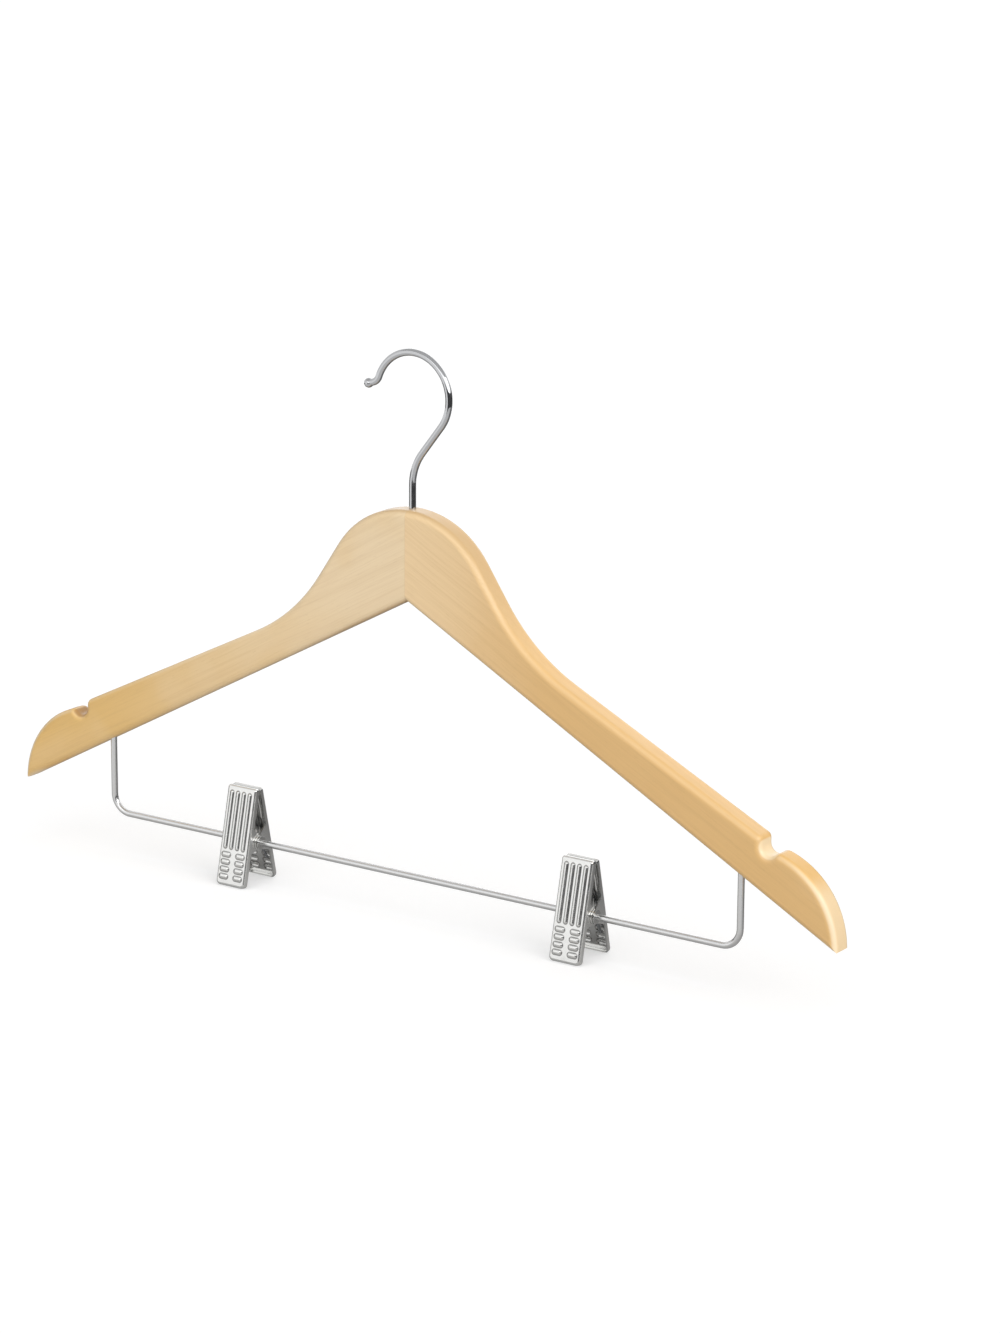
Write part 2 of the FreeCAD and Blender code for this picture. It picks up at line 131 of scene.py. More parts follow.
def new_material(name: str) -> tuple[bpy.types.Material, bpy.types.NodeTree, bpy.types.Node]:
    """Start a node material.

    Args:
        name: Name of the real material.

    Returns:
        The material, its emptied node tree and its output node.
    """
    material = bpy.data.materials.new(name)
    material.use_nodes = True
    material.node_tree.nodes.clear()
    output = add_node(material.node_tree, "ShaderNodeOutputMaterial", {})
    return material, material.node_tree, output


def new_object(name: str, shape: bmesh.types.BMesh, material: bpy.types.Material) -> bpy.types.Object:
    """Turn a finished bmesh into an object at the origin.

    Args:
        name: Name of the piece.
        shape: The bmesh, which is freed.
        material: Finish of all its faces.

    Returns:
        The linked object.
    """
    mesh = bpy.data.meshes.new(name)
    shape.to_mesh(mesh)
    shape.free()
    mesh.materials.append(material)
    made = bpy.data.objects.new(name, mesh)
    bpy.context.scene.collection.objects.link(made)
    return made


def dress(node: bpy.types.Object, material: bpy.types.Material) -> None:
    """Give every material slot of a carried-over node one finish.

    Args:
        node: The node's object.
        material: Its finish.
    """
    for slot in node.material_slots:
        slot.material = material
    LOG.info("dressed %s in %s", node.name, material.name)


@dataclass(frozen=True)
class Layer:
    """A tone that comes in over a colour, softly, as a pattern passes between two values."""

    tone: str
    reach: Span                     # pattern values where it starts to come in and where it is full
    share: float                    # how much of it shows when it is full
    start_share: float = 0.0        # how much of it shows before it comes in

    def lay(self, tree: bpy.types.NodeTree, under: Colour, pattern: Socket) -> Socket:
        """Lay the tone over a colour.

        Args:
            tree: The material's nodes.
            under: Colour below.
            pattern: Value that brings the tone in.

        Returns:
            The mixed colour.
        """
        start, full = self.reach
        share = add_node(
            tree, "ShaderNodeMapRange",
            {"Value": pattern, "From Min": start, "From Max": full,
             "To Min": self.start_share, "To Max": self.share},
            interpolation_type="SMOOTHSTEP",
        ).outputs[0]
        mixed = add_node(
            tree, "ShaderNodeMix", {0: share, MIX_UNDER: under, MIX_OVER: linear(self.tone)},
            data_type="RGBA",
        )
        return mixed.outputs[MIX_RESULT]


@dataclass(frozen=True)
class LacqueredMaple:
    """Pale, even hardwood planed smooth under a clear satin lacquer.

    To the eye: honey-coloured, with faint growth rings and fine fibres along the arm, short flecks, a
    slow change of tone and a soft sheen. The narrow sides are golden on the rounded ends, with a
    painted highlight at the tips, painted shade on top of the dome and a painted pale highlight along
    their upper edges. The notches are cut later and show bare wood; the left notch's dark tone is
    painted shadow.
    """

    name: str
    grain_slope: float              # degrees that the grain turns about Y
    notch: Span                     # x and z of the notch's centre
    pith: Span                      # how far in front of and below the board its growth rings centre
    light_tone: str
    deep_tone: str
    notch_bare_and_shadow_tone: str                  # in the notch: bare cut wood on the right arm, painted shadow on the left arm
    drift_reach: Span               # off the centre line, where the tone deepens
    drift_shares: Span = (0.02, 0.88)
    ring_spacing: float = 3.4 * MM
    ring_distortion: float = 0.6
    rings: Layer = Layer("#C59A60", (0.45, 1.0), 0.07)
    fibre_size: Span = (38 * MM, 0.75 * MM)     # along and across; drawn coarser than real, to show
    fibres: Layer = Layer("#C59A60", (0.42, 0.75), 0.15)
    fleck_size: Span = (5 * MM, 0.42 * MM)      # along and across
    flecks: Layer = Layer("#A8783F", (0.60, 0.78), 0.16)
    grain_detail: float = 3.0
    grain_roughness: float = 0.55
    wander: float = 2.6 * MM                    # of the grain from a straight line
    wander_size: Span = (90 * MM, 22 * MM)      # along and across
    mottle_size: float = 46 * MM
    mottle_middle: float = 0.5
    mottle_spread: float = 0.2
    mottle_share: float = 0.22
    glue: Layer = Layer("#C7A070", (0.22 * MM, 0.066 * MM), 0.15)       # off the centre line
    golden_end: Layer = Layer("#E2B05A", (189 * MM, 197 * MM), 0.6)     # off the centre line
    tip_highlight: Layer = Layer("#FFF0D2", (207 * MM, 217 * MM), 0.5)       # off the centre line; painted highlight, a glint on the tips
    crown_shade: Layer = Layer("#C9A46E", (75 * MM, 30 * MM), 0.8)            # off the centre line; painted shade on top of the dome
    edge_highlight: Layer = Layer("#FFF0D2", (0.02, 0.25), 0.5)     # painted pale highlight along the edges; 0.25 is the middle of a rounded edge
    highlight_reach: Span = (190 * MM, 218 * MM)      # the painted edge highlight is strongest near the tips
    highlight_share: float = 0.35                     # of that, nearer the middle
    highlight_lean: Span = (-0.35, 0.05)              # upward part of the normal; undersides get no painted highlight
    notch_reach: Span = (5.2 * MM, 4.3 * MM)    # from the notch's centre
    notch_share: float = 0.7
    roughness: Span = (0.36, 0.46)
    relief_depth: float = 0.05 * MM
    relief_strength: float = 0.12
    ior: float = 1.5
    coat_weight: float = 0.6
    coat_roughness: float = 0.22

    def stretched(self, tree: bpy.types.NodeTree, source: Socket, size: Span) -> bpy.types.Node:
        """Draw noise out along the grain.

        Args:
            tree: The material's nodes.
            source: Vector that runs along the grain.
            size: Feature size along and across the grain.

        Returns:
            The noise node.
        """
        along, across = size
        scaled = add_node(
            tree, "ShaderNodeMapping",
            {"Vector": source, "Scale": (1 / along, 1 / across, 1 / across)},
        ).outputs["Vector"]
        return add_node(
            tree, "ShaderNodeTexNoise",
            {"Vector": scaled, "Scale": 1.0, "Detail": self.grain_detail, "Roughness": self.grain_roughness},
        )

    def figure(self, tree: bpy.types.NodeTree, place: Socket) -> tuple[Socket, Socket, Socket]:
        """Draw the figure of the wood.

        Args:
            tree: The material's nodes.
            place: Place on the hanger.

        Returns:
            Values of the growth rings, the fibres and the flecks.
        """
        grain = add_node(
            tree, "ShaderNodeMapping",
            {"Vector": place, "Rotation": (0, math.radians(self.grain_slope), 0)},
        ).outputs["Vector"]
        sway = self.stretched(tree, grain, self.wander_size).outputs["Color"]
        swayed = add_node(
            tree, "ShaderNodeVectorMath", {0: sway, 1: (0, self.wander, self.wander), 2: grain},
            operation="MULTIPLY_ADD",
        ).outputs["Vector"]
        centred = add_node(
            tree, "ShaderNodeMapping", {"Vector": swayed, "Location": (0, *self.pith)},
        ).outputs["Vector"]
        rings = add_node(
            tree, "ShaderNodeTexWave",
            {"Vector": centred, "Scale": WAVE_PERIOD / self.ring_spacing, "Distortion": self.ring_distortion},
            wave_type="RINGS", rings_direction="X",
        ).outputs["Fac"]
        fibres = self.stretched(tree, swayed, self.fibre_size).outputs[0]
        flecks = self.stretched(tree, swayed, self.fleck_size).outputs[0]
        return rings, fibres, flecks

    def lay_aside(
        self, tree: bpy.types.NodeTree, layer: Layer, under: Socket, off_centre: Socket, aside: Socket,
    ) -> Socket:
        """Lay a tone on the narrow sides of the board, over one stretch of the arm.

        Args:
            tree: The material's nodes.
            layer: The tone, with its reach off the centre line.
            under: Colour below.
            off_centre: Distance off the centre line.
            aside: 0 on the broad faces, 1 on the narrow sides.

        Returns:
            The mixed colour.
        """
        start, full = layer.reach
        within = add_node(
            tree, "ShaderNodeMapRange", {"Value": off_centre, "From Min": start, "From Max": full},
        ).outputs[0]
        around = add_node(tree, "ShaderNodeMath", {0: within, 1: aside}, operation="MULTIPLY").outputs[0]
        return replace(layer, reach=WHOLE).lay(tree, under, around)

    def side_tones_and_painted_light(
        self, tree: bpy.types.NodeTree, under: Socket, off_centre: Socket, normal: Socket,
    ) -> Socket:
        """Lay the tones of the narrow sides, and the painted highlights and shade on them and their edges.

        Args:
            tree: The material's nodes.
            under: Colour of the planed wood.
            off_centre: Distance off the centre line.
            normal: Way that the surface faces.

        Returns:
            The mixed colour.
        """
        facing = add_node(tree, "ShaderNodeSeparateXYZ", {0: normal}).outputs
        front = add_node(
            tree, "ShaderNodeMath", {0: facing["Y"], 1: facing["Y"]}, operation="MULTIPLY",
        ).outputs[0]
        aside = add_node(tree, "ShaderNodeMath", {0: 1.0, 1: front}, operation="SUBTRACT").outputs[0]
        edge = add_node(tree, "ShaderNodeMath", {0: front, 1: aside}, operation="MULTIPLY").outputs[0]
        # mask of the painted edge highlight: rounded edges, near the tips, facing up
        highlight_start, highlight_full = self.highlight_reach
        near_tip = add_node(
            tree, "ShaderNodeMapRange",
            {"Value": off_centre, "From Min": highlight_start, "From Max": highlight_full, "To Min": self.highlight_share},
        ).outputs[0]
        lean_start, lean_full = self.highlight_lean
        upper = add_node(
            tree, "ShaderNodeMapRange",
            {"Value": facing["Z"], "From Min": lean_start, "From Max": lean_full},
        ).outputs[0]
        reached = add_node(tree, "ShaderNodeMath", {0: near_tip, 1: upper}, operation="MULTIPLY").outputs[0]
        highlight_mask = add_node(tree, "ShaderNodeMath", {0: edge, 1: reached}, operation="MULTIPLY").outputs[0]

        tone = self.lay_aside(tree, self.golden_end, under, off_centre, aside)
        # painted highlight at the tips
        tone = self.lay_aside(tree, self.tip_highlight, tone, off_centre, aside)
        # painted pale highlight along the upper edges
        tone = self.edge_highlight.lay(tree, tone, highlight_mask)
        # painted shade on top of the dome
        return self.lay_aside(tree, self.crown_shade, tone, off_centre, aside)

    def material(self) -> bpy.types.Material:
        """Build the finish.

        Returns:
            The material.
        """
        material, tree, output = new_material(self.name)
        coordinates = add_node(tree, "ShaderNodeTexCoord", {}).outputs
        place = coordinates["Object"]
        rings, fibres, flecks = self.figure(tree, place)
        mottle = add_node(
            tree, "ShaderNodeTexNoise", {"Vector": place, "Scale": 1 / self.mottle_size},
        ).outputs[0]
        axes = add_node(tree, "ShaderNodeSeparateXYZ", {0: place}).outputs
        off_centre = add_node(tree, "ShaderNodeMath", {0: axes["X"]}, operation="ABSOLUTE").outputs[0]
        level = add_node(tree, "ShaderNodeCombineXYZ", {"X": axes["X"], "Z": axes["Z"]}).outputs[0]
        from_notch = add_node(
            tree, "ShaderNodeVectorMath", {0: level, 1: (self.notch[0], 0, self.notch[1])},
            operation="DISTANCE",
        ).outputs["Value"]

        first_share, last_share = self.drift_shares
        drift = Layer(self.deep_tone, self.drift_reach, last_share, first_share)
        tone = drift.lay(tree, linear(self.light_tone), off_centre)
        for shade, spread in ((self.deep_tone, self.mottle_spread), (self.light_tone, -self.mottle_spread)):
            reach = (self.mottle_middle, self.mottle_middle + spread)
            tone = Layer(shade, reach, self.mottle_share).lay(tree, tone, mottle)
        tone = self.rings.lay(tree, tone, rings)
        tone = self.fibres.lay(tree, tone, fibres)
        tone = self.flecks.lay(tree, tone, flecks)
        tone = self.glue.lay(tree, tone, off_centre)
        tone = self.side_tones_and_painted_light(tree, tone, off_centre, coordinates["Normal"])
        # the notch: bare cut wood on the right arm, painted shadow on the left arm
        tone = Layer(self.notch_bare_and_shadow_tone, self.notch_reach, self.notch_share).lay(tree, tone, from_notch)

        roughness = add_node(
            tree, "ShaderNodeMapRange",
            {"Value": fibres, "From Min": NOISE_SPAN[0], "From Max": NOISE_SPAN[1],
             "To Min": self.roughness[0], "To Max": self.roughness[1]},
        ).outputs[0]
        relief = add_node(
            tree, "ShaderNodeBump",
            {"Strength": self.relief_strength, "Distance": self.relief_depth, "Height": fibres},
        ).outputs["Normal"]
        shader = add_node(
            tree, "ShaderNodeBsdfPrincipled",
            {"Base Color": tone, "Roughness": roughness, "Normal": relief, "IOR": self.ior,
             "Coat Weight": self.coat_weight, "Coat Roughness": self.coat_roughness, "Coat IOR": self.ior},
        )
        tree.links.new(shader.outputs[0], output.inputs["Surface"])
        return material


@dataclass(frozen=True)
class PlatedMetal:
    """Metal with a plated surface, drawn or pressed, then handled a little.

    To the eye: a clear mirror of its surroundings, dulled in soft clouds, with faint fine scuffs.
    """

    name: str
    tone: str
    roughness: Span                     # where it is clear and where it is dull
    cloud_size: float = 4 * MM
    cloud_detail: float = 4.0
    scuff_size: float = 0.35 * MM       # drawn coarser than real, to show close up
    scuff_depth: float = 0.004 * MM
    scuff_strength: float = 0.2

    def colour(self, tree: bpy.types.NodeTree, place: Socket) -> Colour:
        """Colour of the surface at a place, here the same all over."""
        return linear(self.tone)

    def material(self) -> bpy.types.Material:
        """Build the finish.

        Returns:
            The material.
        """
        material, tree, output = new_material(self.name)
        place = add_node(tree, "ShaderNodeTexCoord", {}).outputs["Object"]
        cloud = add_node(
            tree, "ShaderNodeTexNoise",
            {"Vector": place, "Scale": 1 / self.cloud_size, "Detail": self.cloud_detail},
        ).outputs[0]
        dulled = add_node(
            tree, "ShaderNodeMapRange",
            {"Value": cloud, "From Min": NOISE_SPAN[0], "From Max": NOISE_SPAN[1],
             "To Min": self.roughness[0], "To Max": self.roughness[1]},
        ).outputs[0]
        scuff = add_node(
            tree, "ShaderNodeTexNoise", {"Vector": place, "Scale": 1 / self.scuff_size},
        ).outputs[0]
        relief = add_node(
            tree, "ShaderNodeBump",
            {"Strength": self.scuff_strength, "Distance": self.scuff_depth, "Height": scuff},
        ).outputs["Normal"]
        shader = add_node(
            tree, "ShaderNodeBsdfPrincipled",
            {"Base Color": self.colour(tree, place), "Metallic": 1.0, "Roughness": dulled, "Normal": relief},
        )
        tree.links.new(shader.outputs[0], output.inputs["Surface"])
        return material


@dataclass(frozen=True)
class BeadGroup:
    """Alike raised beads on a clip's plate, set evenly about a middle."""

    middle: float                   # up the plate from its nearest point to the pivot
    folds: tuple[Span, ...]         # across and up; folding the plate there lays all beads on one
    half_run: Span                  # of a bead's straight part, across and up
    radius: float                   # half of a bead's width


@dataclass(frozen=True, kw_only=True)
class PressedSheet(PlatedMetal):
    """Bright nickel over sheet steel, pressed into ribs and finger bumps.

    To the eye: a bright, slightly soft mirror, with painted shade in the creases round the beads.
    """

    pivot: Span                     # x and z
    lean: float = 12.8              # degrees of the plate from upright
    plate_rise: float = 1.88 * MM   # of the plate's nearest point above the pivot, as it leans
    crease_shade: Layer = Layer("#7C7C7A", (0.42 * MM, 0.0), 0.8)     # from a bead's foot; painted shade round each bead
    groups: tuple[BeadGroup, ...] = (
        BeadGroup(8.875 * MM, ((3.4 * MM, 0), (1.7 * MM, 0)), (0, 12.575 * MM), 1.05 * MM),
        BeadGroup(-12.5 * MM, ((0, 3.4 * MM), (4.0 * MM, 1.7 * MM)), (1.35 * MM, 0), 1.25 * MM),
    )

    def colour(self, tree: bpy.types.NodeTree, place: Socket) -> Colour:
        """Paint shade round each bead's foot.

        Args:
            tree: The material's nodes.
            place: Place on the clip.

        Returns:
            The mixed colour.
        """
        tone: Colour = linear(self.tone)
        stretch = 1 / math.cos(math.radians(self.lean))
        foot = (self.pivot[1] + self.plate_rise) * stretch
        for group in self.groups:
            spot = add_node(
                tree, "ShaderNodeMapping",
                {"Vector": place, "Location": (-self.pivot[0], 0, -foot - group.middle),
                 "Scale": (1, 0, stretch)},
            ).outputs["Vector"]
            for across, up in (*group.folds, group.half_run):
                folded = add_node(
                    tree, "ShaderNodeVectorMath", {0: spot}, operation="ABSOLUTE",
                ).outputs["Vector"]
                spot = add_node(
                    tree, "ShaderNodeVectorMath", {0: folded, 1: (across, 0, up)}, operation="SUBTRACT",
                ).outputs["Vector"]
            beyond = add_node(
                tree, "ShaderNodeVectorMath", {0: spot, 1: (0, 0, 0)}, operation="MAXIMUM",
            ).outputs["Vector"]
            from_axis = add_node(
                tree, "ShaderNodeVectorMath", {0: beyond}, operation="LENGTH",
            ).outputs["Value"]
            off_foot = add_node(
                tree, "ShaderNodeMath", {0: from_axis, 1: group.radius}, operation="SUBTRACT",
            ).outputs[0]
            from_foot = add_node(tree, "ShaderNodeMath", {0: off_foot}, operation="ABSOLUTE").outputs[0]
            # painted shade round the bead's foot
            tone = self.crease_shade.lay(tree, tone, from_foot)
        return tone


@dataclass
class WoodenBody:
    """The two arms, glued on the centre line."""

    nodes: dict[str, bpy.types.Object]
    grain_slope: float = 28.3       # degrees, as the arms fall
    notch_x: float = 188.6 * MM
    notch_z: float = -188.6 * MM

    def finish(self, side: Side) -> LacqueredMaple:
        """Choose the finish of one arm, sawn from a board of its own with the grain along the arm.

        Args:
            side: Which arm.

        Returns:
            The finish.
        """
        name = "lacquered_maple_" + side.value
        slope = -side.sign * self.grain_slope
        notch = (side.sign * self.notch_x, self.notch_z)
        if side is Side.LEFT:
            # the left notch's dark brown is painted shadow
            return LacqueredMaple(
                name, slope, notch, pith=(-41 * MM, 96 * MM), light_tone="#F3DAB2", deep_tone="#E4B660",
                notch_bare_and_shadow_tone="#A87840", drift_reach=(20 * MM, 200 * MM),
            )
        return LacqueredMaple(
            name, slope, notch, pith=(37 * MM, 112 * MM), light_tone="#F4D4A3", deep_tone="#E4B773",
            notch_bare_and_shadow_tone="#FBE9C6", drift_reach=(0.0, 80 * MM),
        )

    def build(self) -> None:
        """Dress both arms."""
        for side in Side:
            dress(self.nodes[side.value + "_arm"], self.finish(side).material())


@dataclass
class Hook:
    """The bent wire hook and the washer under its head."""

    nodes: dict[str, bpy.types.Object]
    chrome: PlatedMetal = PlatedMetal("polished_chrome_wire", "#C6C7C9", (0.05, 0.12))
    zinc: PlatedMetal = PlatedMetal("zinc_plated_washer", "#B9BCBE", (0.28, 0.42))

    def build(self) -> None:
        """Dress the hook and its washer."""
        dress(self.nodes["hook"], self.chrome.material())
        dress(self.nodes["hook_washer"], self.zinc.material())


@dataclass
class ClipBar:
    """The wire bar that carries the clips."""

    nodes: dict[str, bpy.types.Object]
    wire: PlatedMetal = PlatedMetal("nickel_plated_drawn_wire", "#E2E2E2", (0.16, 0.26))

    def build(self) -> None:
        """Dress the bar."""
        dress(self.nodes["clip_bar"], self.wire.material())


@dataclass
class ClipFinishes:
    """Materials that both clips share."""

    rivet: bpy.types.Material
    spring: bpy.types.Material


@dataclass
class SpringClip:
    """One clip: two pressed jaws, a pivot tube and the torsion spring between them."""

    side: Side
    nodes: dict[str, bpy.types.Object]
    pivot: Vector
    finishes: ClipFinishes
    sheet_tone: str = "#ECECEA"
    sheet_roughness: Span = (0.16, 0.26)
    wire: float = 1.2 * MM              # across the spring's wire
    coil_radius: float = 2.96 * MM      # to the middle of the wire
    pitch: float = 1.75 * MM
    whole_turns: int = 4
    leg_length: float = 13.9 * MM
    leg_slant: float = 30.07            # degrees from upright at rest
    wire_sides: int = 20
    turn_steps: int = 36
    tip_rounding: float = 0.3 * MM
    tip_rings: int = 4

    def named(self, piece: str) -> str:
        """Node or body name of one of this clip's pieces."""
        return self.side.value + "_" + piece

    def round_tip(self, shape: bmesh.types.BMesh, ring: list[bmesh.types.BMEdge], way: Vector) -> None:
        """Run a leg straight out from a ring of edges and close it with a rounded end.

        Args:
            shape: The spring's bmesh.
            ring: Edges round the wire.
            way: Unit vector along the leg.
        """
        radius = self.wire / 2
        steps = [(self.leg_length - self.tip_rounding, radius)]
        for index in range(1, self.tip_rings + 1):
            turn = index / self.tip_rings * math.pi / 2
            reach = self.leg_length - self.tip_rounding * (1 - math.sin(turn))
            steps.append((reach, radius - self.tip_rounding * (1 - math.cos(turn))))
        done, width = 0.0, radius
        for reach, size in steps:
            grown = bmesh.ops.extrude_edge_only(shape, edges=ring)["geom"]
            verts = [item for item in grown if isinstance(item, bmesh.types.BMVert)]
            edges = [item for item in grown if isinstance(item, bmesh.types.BMEdge)]
            ring = [edge for edge in edges if all(vert in verts for vert in edge.verts)]
            bmesh.ops.translate(shape, verts=verts, vec=way * (reach - done))
            middle = sum((vert.co for vert in verts), Vector()) / len(verts)
            bmesh.ops.scale(
                shape, verts=verts, vec=Vector((size / width,) * 3), space=Matrix.Translation(-middle),
            )
            done, width = reach, size
        bmesh.ops.edgeloop_fill(shape, edges=ring)

    def wind_spring(self) -> bpy.types.Object:
        """Wind the torsion spring: front leg, coil round the tube, rear leg.

        Returns:
            The spring, wound as it sits with the jaws at rest.
        """
        slant = math.radians(self.leg_slant)
        turn = (2 * self.whole_turns + 1) * math.pi - 2 * slant
        travel = self.pitch * turn / (2 * math.pi)
        steps = round(turn / (2 * math.pi) * self.turn_steps)
        rise = self.pitch / (2 * math.pi)
        over = self.coil_radius * math.sin(slant)
        out = self.coil_radius * math.cos(slant)
        start = self.pivot + Vector((-travel / 2, -out, over))
        leaving = Vector((rise, over, out)).normalized()
        arriving = Vector((rise, over, -out)).normalized()

        shape = bmesh.new()
        facing = leaving.to_track_quat("Z", "X").to_matrix().to_4x4()
        bmesh.ops.create_circle(
            shape, segments=self.wire_sides, radius=self.wire / 2, matrix=Matrix.Translation(start) @ facing,
        )
        first_ring = list(shape.edges)
        spun = bmesh.ops.spin(
            shape, geom=first_ring + list(shape.verts), cent=self.pivot, axis=(1, 0, 0), angle=-turn,
            steps=steps, dvec=Vector((travel / steps, 0, 0)), use_duplicate=False,
        )
        last_ring = [item for item in spun["geom_last"] if isinstance(item, bmesh.types.BMEdge)]
        self.round_tip(shape, first_ring, -leaving)
        self.round_tip(shape, last_ring, arriving)
        bmesh.ops.recalc_face_normals(shape, faces=shape.faces)
        for face in shape.faces:
            face.smooth = len(face.verts) == 4      # the round of the wire, not the flat of its tips
        spring = new_object(self.named("coil_spring"), shape, self.finishes.spring)
        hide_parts(self.named("spring"))
        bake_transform(spring)
        return spring

    def build(self) -> None:
        """Dress the jaws and the tube, and wind the spring."""
        sheet = PressedSheet(
            "bright_nickel_pressed_sheet_" + self.side.value, self.sheet_tone, self.sheet_roughness,
            pivot=(self.pivot.x, self.pivot.z),
        ).material()
        for piece in ("front_jaw", "rear_jaw"):
            dress(self.nodes[self.named(piece)], sheet)
        dress(self.nodes[self.named("pivot_tube")], self.finishes.rivet)
        spring = self.wind_spring()
        LOG.info("wound %s, %d faces", spring.name, len(spring.data.polygons))


@dataclass(frozen=True)
class Lamp:
    """A wide, far softbox, as even light from one direction."""

    name: str
    towards: tuple[float, float, float]     # from the hanger to the lamp
    strength: float                         # brightness of a white face turned to it
    width: float                            # degrees across

    def build(self) -> None:
        """Hang the lamp."""
        light = bpy.data.lights.new(self.name, "SUN")
        light.energy = self.strength * math.pi
        light.angle = math.radians(self.width)
        lamp = bpy.data.objects.new(self.name, light)
        lamp.rotation_euler = Vector(self.towards).to_track_quat("Z", "Y").to_euler()
        bpy.context.scene.collection.objects.link(lamp)


@dataclass(frozen=True)
class Flag:
    """A matt card that stands on the floor, bent round the hanger."""

    name: str
    tone: str
    span: Span                      # degrees round from the front, by the right
    height: float
    radius: float = 0.60


@dataclass
class Studio:
    """Pale floor and soft light, with cards round the hanger for the metal to mirror."""

    floor_z: float                      # height of the floor
    floor_half: float = 20.0            # half of its width
    floor_tone: str = "#D2D2D2"
    floor_glow: float = 0.42            # brings the lit floor up to white
    room_fill: float = 0.384            # light of the room on matt surfaces
    room_mirrored: float = 0.8          # brightness of the room in the metal
    room_seen: float = 1.0              # brightness of the room behind the floor, white
    lamps: tuple[Lamp, ...] = (
        Lamp("key_softbox", (0.45, -0.45, 0.77), 0.54, 100.0),
        Lamp("right_softbox", (0.90, -0.20, 0.35), 0.34, 50.0),
        Lamp("left_softbox", (-0.55, -0.83, 0.10), 0.06, 60.0),
        Lamp("rear_softbox", (-0.30, 0.93, 0.15), 0.18, 60.0),
    )
    flags: tuple[Flag, ...] = (
        Flag("right_flag", "#626263", (-5.0, 172.0), 0.30),
        Flag("left_flag", "#7C7C7C", (-150.0, -58.0), 0.15),
    )
    card_steps: int = 48
    sheet_tone: str = "#E0E0E0"
    sheet_rear: Layer = Layer("#7A7A7A", (-120 * MM, 110 * MM), 1.0)    # from front to rear, by Y; painted shade for the metal to mirror
    sheet_radius: float = 0.58
    sheet_lift: float = 0.5 * MM        # off the floor
    ceiling_tone: str = "#FAFAFA"
    ceiling_radius: float = 0.70
    ceiling_height: float = 0.75

    def seen(self, tree: bpy.types.NodeTree) -> Socket:
        """Tell the rays of the eye and of shiny surfaces from those of matt ones.

        Args:
            tree: Nodes of a stage material or of the world.

        Returns:
            1 for rays from the camera and for rays off or through a shiny surface, else 0.
        """
        path = add_node(tree, "ShaderNodeLightPath", {}).outputs
        shiny = add_node(
            tree, "ShaderNodeMath", {0: path["Is Glossy Ray"], 1: path["Is Transmission Ray"]},
            operation="MAXIMUM",
        ).outputs[0]
        return add_node(
            tree, "ShaderNodeMath", {0: path["Is Camera Ray"], 1: shiny}, operation="MAXIMUM",
        ).outputs[0]

    def sky(self) -> None:
        """White room to the eye, pale in the metal, an even fill on everything else."""
        world = bpy.data.worlds.new("white_room")
        world.use_nodes = True
        tree = world.node_tree
        tree.nodes.clear()
        indoors = add_node(
            tree, "ShaderNodeMapRange",
            {"Value": self.seen(tree), "To Min": self.room_fill, "To Max": self.room_mirrored},
        ).outputs[0]
        straight = add_node(tree, "ShaderNodeLightPath", {}).outputs["Is Camera Ray"]
        strength = add_node(
            tree, "ShaderNodeMapRange", {"Value": straight, "To Min": indoors, "To Max": self.room_seen},
        ).outputs[0]
        room = add_node(tree, "ShaderNodeBackground", {"Color": WHITE, "Strength": strength})
        output = add_node(tree, "ShaderNodeOutputWorld", {"Surface": room.outputs[0]})
        output.is_active_output = True
        bpy.context.scene.world = world

    def floor(self) -> None:
        """Pale matt floor at the lowest point of the hanger, which keeps its shadow."""
        material, tree, output = new_material("pale_paper_floor")
        paper = add_node(tree, "ShaderNodeBsdfDiffuse", {"Color": linear(self.floor_tone)})
        glow = add_node(
            tree, "ShaderNodeMath", {0: self.seen(tree), 1: self.floor_glow}, operation="MULTIPLY",
        ).outputs[0]
        lit = add_node(tree, "ShaderNodeEmission", {"Strength": glow})
        both = add_node(tree, "ShaderNodeAddShader", {0: paper.outputs[0], 1: lit.outputs[0]})
        tree.links.new(both.outputs[0], output.inputs["Surface"])
        shape = bmesh.new()
        bmesh.ops.create_grid(
            shape, x_segments=1, y_segments=1, size=self.floor_half,
            matrix=Matrix.Translation((0, 0, self.floor_z)),
        )
        new_object("floor", shape, material)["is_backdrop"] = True

    def card(self, name: str, shape: bmesh.types.BMesh, tone: str, rear: Layer | None = None) -> None:
        """Put up a matt card that only shiny surfaces can see.

        Args:
            name: Name of the card.
            shape: Its bmesh, which is freed.
            tone: Hex colour of the card.
            rear: Tone that comes in over it towards the rear, if any.
        """
        material, tree, output = new_material(name + "_board")
        colour: Colour = linear(tone)
        if rear:
            place = add_node(tree, "ShaderNodeTexCoord", {}).outputs["Object"]
            depth = add_node(tree, "ShaderNodeSeparateXYZ", {0: place}).outputs["Y"]
            colour = rear.lay(tree, colour, depth)
        board = add_node(tree, "ShaderNodeBsdfDiffuse", {"Color": colour})
        tree.links.new(board.outputs[0], output.inputs["Surface"])
        made = new_object(name, shape, material)
        made.visible_camera = made.visible_diffuse = made.visible_shadow = False
        made.visible_transmission = made.visible_volume_scatter = False
        made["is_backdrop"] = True

    def bent(self, flag: Flag) -> bmesh.types.BMesh:
        """Bend a flag round the vertical through the hook.

        Args:
            flag: Its place and size.

        Returns:
            Its shape.
        """
        first, last = (math.radians(angle) for angle in flag.span)
        foot = Vector((math.sin(first), -math.cos(first), 0)) * flag.radius
        foot.z = self.floor_z
        shape = bmesh.new()
        ends = [shape.verts.new(foot), shape.verts.new(foot + Vector((0, 0, flag.height)))]
        bmesh.ops.spin(
            shape, geom=[*ends, shape.edges.new(ends)], cent=(0, 0, 0), axis=(0, 0, 1),
            angle=last - first, steps=self.card_steps, use_duplicate=False,
        )
        return shape

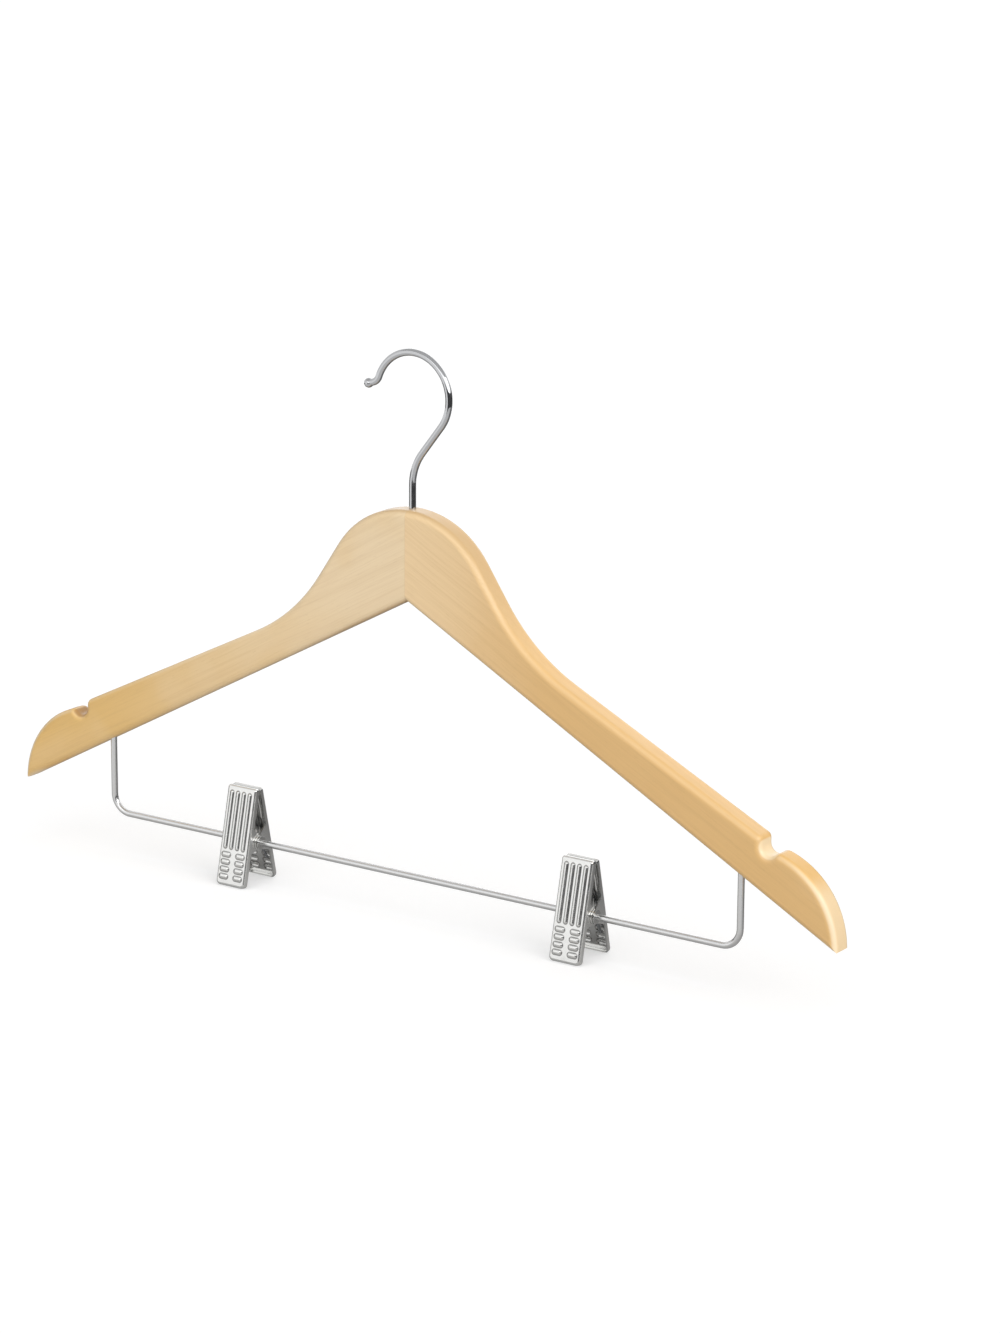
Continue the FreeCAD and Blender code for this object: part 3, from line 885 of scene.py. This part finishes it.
    def disc(self, height: float, radius: float) -> bmesh.types.BMesh:
        """Cut a round sheet that lies level about the vertical through the hook.

        Args:
            height: How far above the floor it lies.
            radius: Half of its width.

        Returns:
            Its shape.
        """
        shape = bmesh.new()
        bmesh.ops.create_circle(
            shape, cap_ends=True, segments=self.card_steps, radius=radius,
            matrix=Matrix.Translation((0, 0, self.floor_z + height)),
        )
        return shape

    def hang_cards(self) -> None:
        """Put up what the metal mirrors: dark flags at the sides, pale sheets below and above."""
        for flag in self.flags:
            self.card(flag.name, self.bent(flag), flag.tone)
        below = self.disc(self.sheet_lift, self.sheet_radius)
        self.card("floor_sheet", below, self.sheet_tone, self.sheet_rear)
        above = self.disc(self.ceiling_height, self.ceiling_radius)
        self.card("ceiling", above, self.ceiling_tone)

    def build(self) -> None:
        """Set up the whole studio."""
        self.sky()
        self.floor()
        self.hang_cards()
        for lamp in self.lamps:
            lamp.build()
        LOG.info("studio ready, floor at %.4f m", self.floor_z)


@dataclass
class PhotoCamera:
    """Camera at the photograph's place, fitted on the hanger's tips, notches, hook and bar."""

    image_height: int = 1333
    focal_pixels: float = 4281.0
    sensor_height: float = 36.0     # millimetres, as Blender counts lenses
    place: tuple[float, float, float] = (1.0716, -1.4889, 0.3548)   # metres
    azimuth: float = 34.53          # degrees round from the front, by the right
    elevation: float = 15.09
    roll: float = 0.38

    def build(self) -> None:
        """Make the camera and let the scene use it."""
        around, above, tilt = (math.radians(a) for a in (self.azimuth, self.elevation, self.roll))
        right = Vector((math.cos(around), math.sin(around), 0))
        ahead = Vector((
            -math.sin(around) * math.cos(above), math.cos(around) * math.cos(above), -math.sin(above),
        ))
        up = right.cross(ahead)
        across = right * math.cos(tilt) + up * math.sin(tilt)
        upright = up * math.cos(tilt) - right * math.sin(tilt)
        turned = Matrix((across, upright, -ahead)).transposed().to_4x4()
        lens = bpy.data.cameras.new("photo_camera")
        lens.sensor_fit = "VERTICAL"
        lens.sensor_height = self.sensor_height
        lens.lens = self.sensor_height * self.focal_pixels / self.image_height
        camera = bpy.data.objects.new("photo_camera", lens)
        camera.matrix_world = Matrix.Translation(self.place) @ turned
        bpy.context.scene.collection.objects.link(camera)
        bpy.context.scene.camera = camera
        LOG.info("camera set, lens %.1f mm", lens.lens)


def clip_pivot(joints: list[dict[str, Any]], side: Side) -> Vector:
    """Where a clip's jaws turn, as its joint says."""
    name = side.value + "_jaw_open"
    return Vector(next(joint["pos_m"] for joint in joints if joint["name"] == name))


def main() -> None:
    """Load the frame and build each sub-assembly."""
    logging.basicConfig(level=logging.INFO, format="%(name)s: %(message)s")
    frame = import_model()
    cad_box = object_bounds()
    nodes = frame["nodes"]
    bpy.context.scene.view_settings.view_transform = "Standard"
    WoodenBody(nodes).build()
    Hook(nodes).build()
    ClipBar(nodes).build()
    finishes = ClipFinishes(
        PlatedMetal("nickel_plated_rivet", "#D0D0CE", (0.12, 0.24)).material(),
        PlatedMetal("drawn_spring_steel", "#A3A5A8", (0.24, 0.36)).material(),
    )
    for side in Side:
        SpringClip(side, nodes, clip_pivot(frame["joints"], side), finishes).build()
    Studio(cad_box[0].z).build()
    PhotoCamera().build()


if __name__ == "__main__":
    main()
